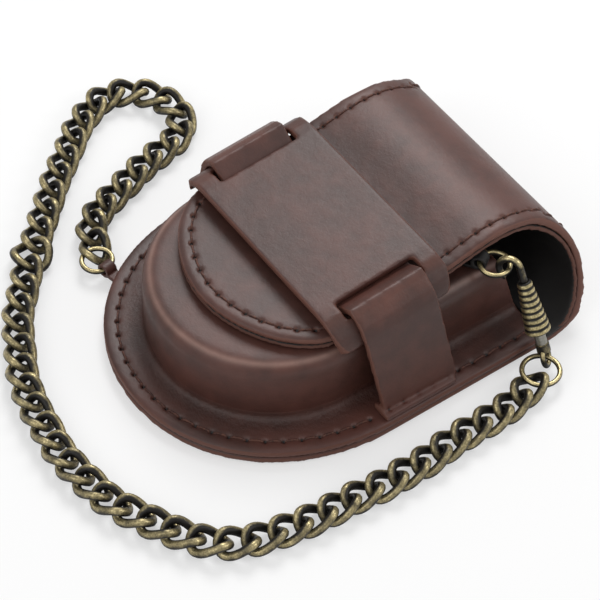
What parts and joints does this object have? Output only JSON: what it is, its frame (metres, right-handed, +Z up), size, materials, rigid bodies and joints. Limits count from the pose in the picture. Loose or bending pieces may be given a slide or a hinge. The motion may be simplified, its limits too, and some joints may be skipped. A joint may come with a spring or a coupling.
{
  "type": "pocket watch case",
  "caption": "Leather pocket watch belt case with a moulded domed pocket, a folded flap held by a keeper strap and band, and a curb chain with a sprung clasp.",
  "frame": {"origin": "middle of the case's footprint on the table, under its flat back, without the chain and clasp", "axes": "+Z up from the back through the domed pocket, +Y towards the folded spine, +X towards the clasp side"},
  "size_m": [0.1406, 0.1257, 0.0326],
  "materials": {
    "leather": "smooth oiled",
    "lining": "satin",
    "thread": "waxed",
    "antique_brass": "antiqued",
    "spring_steel": "satin"
  },
  "bodies": {
    "root": {"back_panel": "leather", "back_lining": "lining", "front_panel": "leather", "flange_stitches": "thread", "spine_stitches": "thread", "keeper_strap": "leather", "keeper_band": "leather", "strap_stitches": "thread", "hook_tab": "lining", "tab_rivet": "antique_brass", "clasp_eye": "antique_brass", "chain_near": "antique_brass", "joining_ring": "antique_brass", "chain_far": "antique_brass", "anchor_tab": "leather"},
    "flap": {"flap_outer": "leather", "flap_lining": "lining", "flap_stitches": "thread"},
    "clasp": {"clasp_hook": "antique_brass", "clasp_spring": "spring_steel"},
    "sleeve": {"clasp_sleeve": "antique_brass"},
    "jump_ring": {"jump_ring": "antique_brass"},
    "hook_ring": {"hook_ring": "antique_brass"},
    "anchor_ring": {"anchor_ring": "antique_brass"}
  },
  "joints": [
    {"name": "flap_hinge", "type": "hinge", "parent": "root", "child": "flap", "pos_m": [0, 0.0505, 0.0153], "axis": [-1, 0, 0], "range_deg": [0, 150]},
    {"name": "clasp_swivel", "type": "hinge", "parent": "root", "child": "clasp", "pos_m": [0.0412, 0.0322, 0.0092], "axis": [-0.4477, -0.0376, 0.8934], "range_deg": [-10, 10]},
    {"name": "sleeve_slide", "type": "slide", "parent": "clasp", "child": "sleeve", "axis": [0.4477, 0.0376, -0.8934], "range_m": [0, 0.0026], "stiffness_N_per_m": 60, "springref_m": -0.003, "deforming": ["clasp_spring"]},
    {"name": "jump_ring_turn", "type": "hinge", "parent": "root", "child": "jump_ring", "pos_m": [0.0469, 0.029, 0.003], "axis": [-0.0074, 0.01, 0.9999], "continuous": true},
    {"name": "hook_ring_turn", "type": "hinge", "parent": "root", "child": "hook_ring", "pos_m": [0.02906, 0.02816, 0.02342], "axis": [0.043, 0.0307, 0.9986], "continuous": true},
    {"name": "anchor_ring_turn", "type": "hinge", "parent": "root", "child": "anchor_ring", "pos_m": [-0.03838, -0.03544, 0.00307], "axis": [0, 0, 1], "continuous": true}
  ]
}
